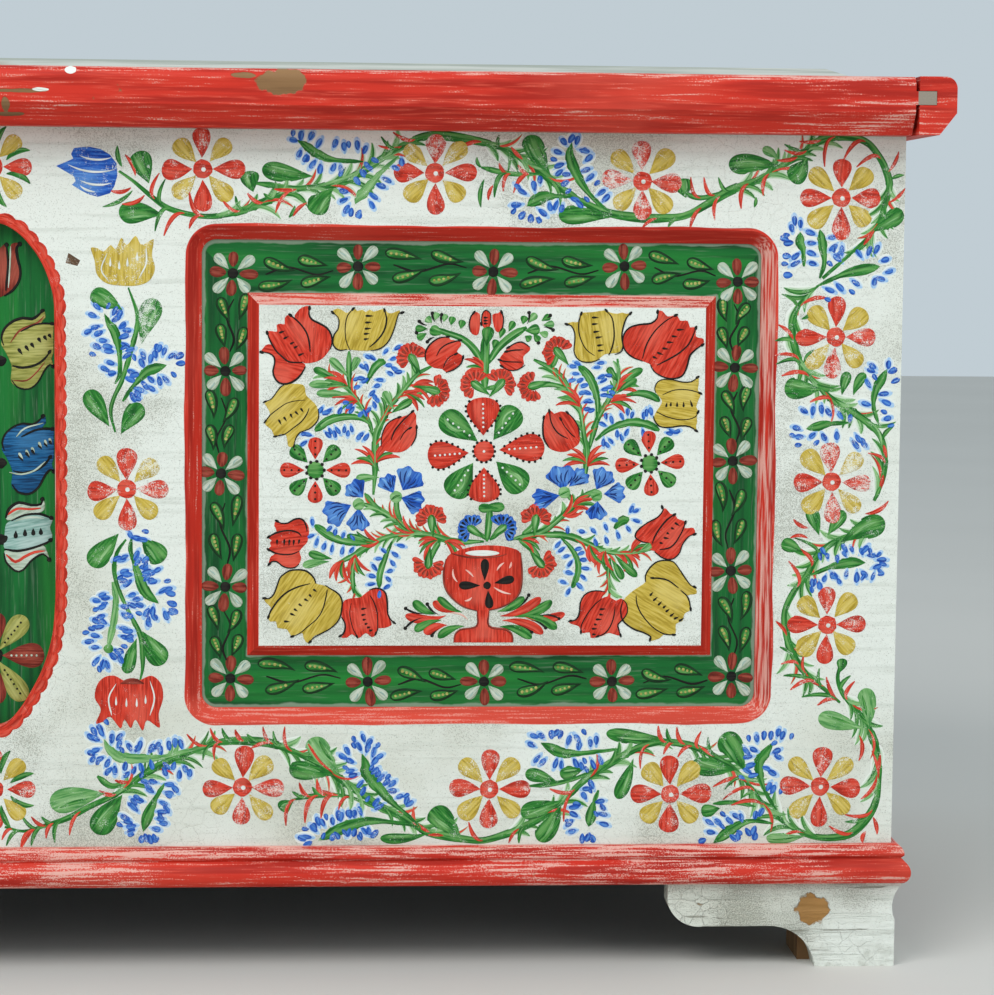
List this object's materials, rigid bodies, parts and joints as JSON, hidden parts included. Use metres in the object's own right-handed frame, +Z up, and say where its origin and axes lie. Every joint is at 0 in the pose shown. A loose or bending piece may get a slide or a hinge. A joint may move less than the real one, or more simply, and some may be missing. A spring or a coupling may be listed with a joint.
{
  "type": "painted dowry chest",
  "caption": "Long painted wooden dowry chest on bracket feet, with a hinged lid, bevelled front panels, an arched medallion, a chest lock and a small till inside.",
  "frame": {"origin": "on the floor, under the middle of the box that the whole chest fills", "axes": "+Z up, the painted front faces -Y, +X to the right as seen from the front"},
  "size_m": [1.296, 0.6246, 0.625],
  "materials": {
    "white_paint": "worn off-white paint",
    "green_paint": "worn green paint",
    "red_paint": "worn red paint",
    "lid_paint": "worn grey-green paint",
    "bare_wood": "aged bare softwood",
    "iron": "forged, dark"
  },
  "bodies": {
    "carcass": {"lock_case": "iron", "lock_nails": "iron", "back_strap_nails": "iron", "hinge_left_back_strap": "iron", "hinge_left_pin": "iron", "hinge_right_back_strap": "iron", "hinge_right_pin": "iron", "front_overlay": "white_paint", "field_left": "white_paint", "field_right": "white_paint", "side_board_left": "white_paint", "side_board_right": "white_paint", "foot_front_left_face": "white_paint", "foot_front_left_side": "white_paint", "foot_front_right_face": "white_paint", "foot_front_right_side": "white_paint", "foot_back_left_face": "white_paint", "foot_back_left_side": "white_paint", "foot_back_right_face": "white_paint", "foot_back_right_side": "white_paint", "front_plank": "green_paint", "base_moulding_front": "red_paint", "base_moulding_left": "red_paint", "base_moulding_right": "red_paint", "back_plank_upper": "bare_wood", "back_plank_lower": "bare_wood", "bottom_plank_front": "bare_wood", "bottom_plank_middle": "bare_wood", "bottom_plank_back": "bare_wood", "till_side_board": "bare_wood", "till_bottom": "bare_wood", "foot_front_left_block": "bare_wood", "foot_front_right_block": "bare_wood", "foot_back_left_block": "bare_wood", "foot_back_right_block": "bare_wood"},
    "lid": {"lid_front_rail": "red_paint", "lid_plank_front": "lid_paint", "lid_plank_back": "lid_paint", "lid_cleat_left": "red_paint", "lid_cleat_right": "red_paint", "lid_field": "lid_paint", "cleat_pegs": "bare_wood", "hinge_left_lid_strap": "iron", "hinge_right_lid_strap": "iron", "lid_strap_nails": "iron", "lid_staple": "iron", "staple_nails": "iron"},
    "bolt": {"lock_bolt": "iron"},
    "till_cover": {"till_lid": "bare_wood"}
  },
  "joints": [
    {"name": "lid_hinge", "type": "hinge", "parent": "carcass", "child": "lid", "pos_m": [0, 0.3073, 0.587], "axis": [-1, 0, 0], "range_deg": [0, 100]},
    {"name": "bolt_slide", "type": "slide", "parent": "carcass", "child": "bolt", "axis": [1, 0, 0], "range_m": [0, 0.014]},
    {"name": "till_lid_hinge", "type": "hinge", "parent": "carcass", "child": "till_cover", "pos_m": [-0.589, 0, 0.421], "axis": [0, -1, 0], "range_deg": [0, 88]}
  ]
}
